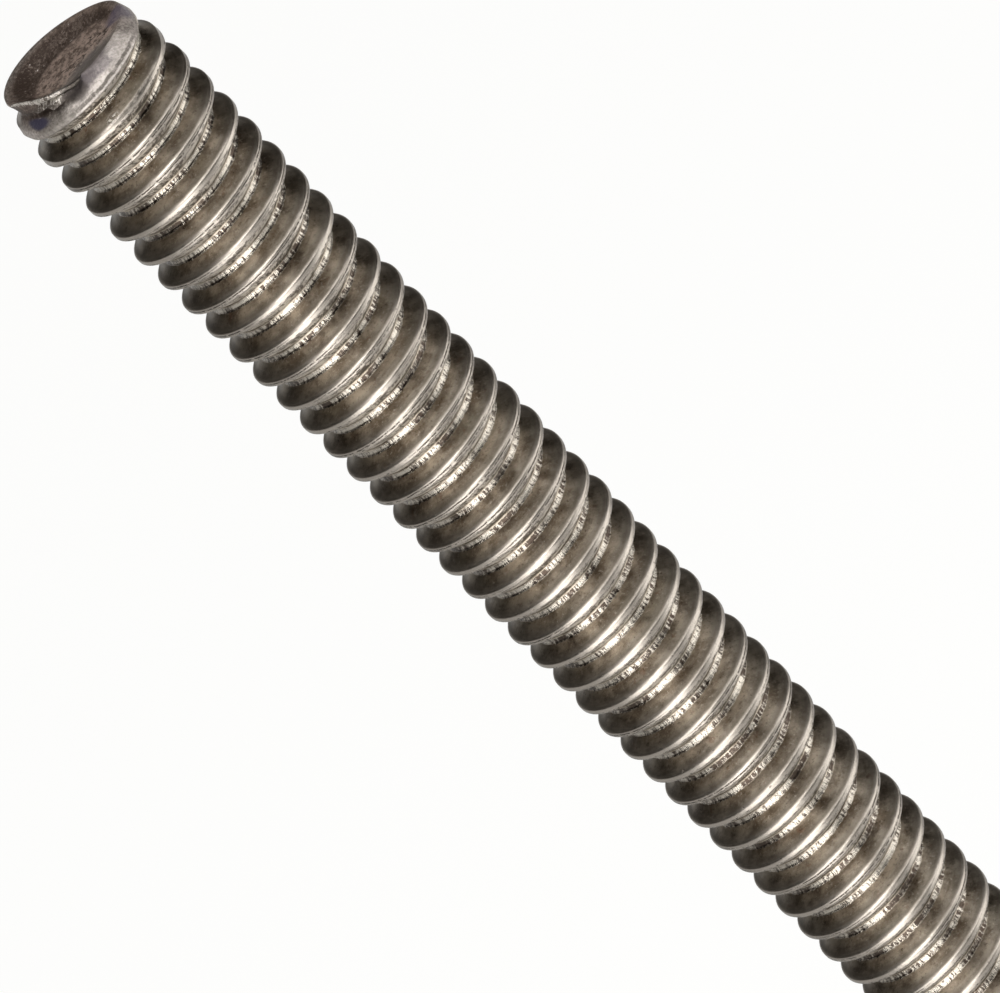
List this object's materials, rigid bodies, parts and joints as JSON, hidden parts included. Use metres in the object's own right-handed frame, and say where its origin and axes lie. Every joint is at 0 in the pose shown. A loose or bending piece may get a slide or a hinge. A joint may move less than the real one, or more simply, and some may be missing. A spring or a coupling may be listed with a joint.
{
  "type": "threaded rod",
  "caption": "Short plain steel rod, threaded from end to end, with one tapered sheared end and one plain-cut end.",
  "frame": {"origin": "middle of the plain-cut foot, which the rod stands on", "axes": "+Z along the rod, from the plain-cut foot to the sheared end; -Y is the side on which the groove runs out through the sheared end"},
  "size_m": [0.0062, 0.0062, 0.0762],
  "materials": {
    "rolled_steel": "satin"
  },
  "bodies": {
    "root": {"threaded_rod": "rolled_steel"}
  },
  "joints": []
}
